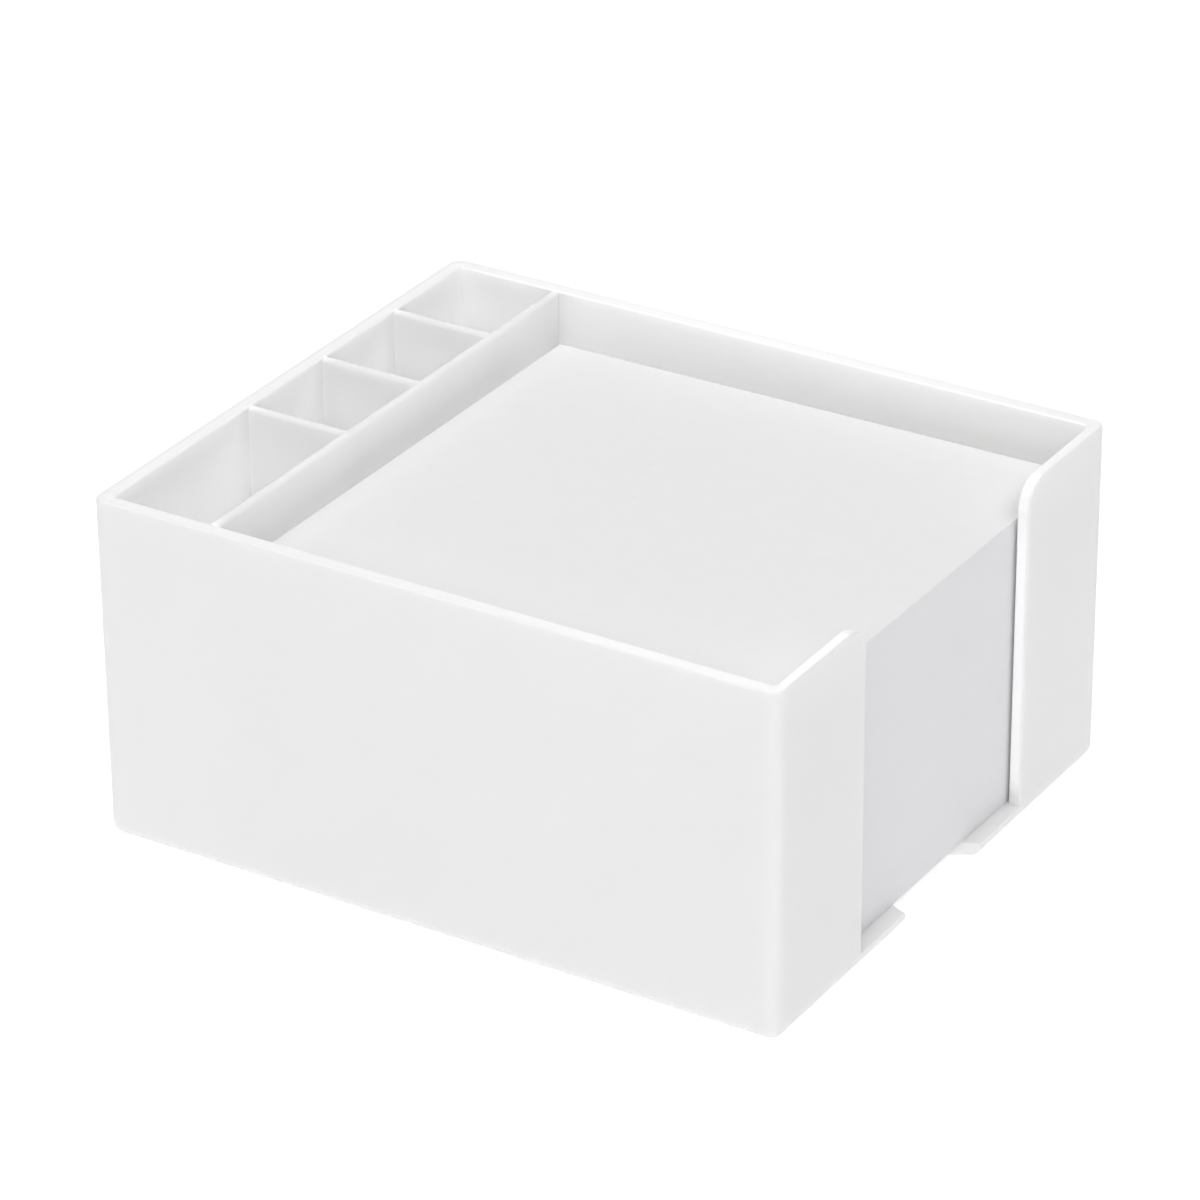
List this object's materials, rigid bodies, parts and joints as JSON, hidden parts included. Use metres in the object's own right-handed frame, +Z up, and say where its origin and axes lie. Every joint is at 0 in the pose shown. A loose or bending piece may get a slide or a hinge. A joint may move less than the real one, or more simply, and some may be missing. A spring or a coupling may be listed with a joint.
{
  "type": "memo pad holder",
  "caption": "White moulded desk box that holds a block of loose note sheets behind a slotted front, with a row of small open compartments along its back end.",
  "frame": {"origin": "centre of the footprint, on the underside", "axes": "+X out of the slotted front end, +Y to the far long wall seen from the front left, +Z up; the small compartments are at -X"},
  "size_m": [0.118, 0.1, 0.057],
  "materials": {
    "white_plastic": "satin moulded white polystyrene or ABS, slightly translucent at its edges",
    "note_paper": "plain uncoated white note paper"
  },
  "bodies": {
    "holder": {"holder_shell": "white_plastic", "divider_insert": "white_plastic"},
    "paper": {"note_stack": "note_paper"},
    "sheet": {"top_sheet": "note_paper"}
  },
  "joints": [
    {"name": "note_stack_lift", "type": "slide", "parent": "holder", "child": "paper", "axis": [0, 0, 1], "range_m": [0, 0.06]},
    {"name": "top_sheet_lift", "type": "slide", "parent": "paper", "child": "sheet", "axis": [0, 0, 1], "range_m": [0, 0.03]}
  ]
}
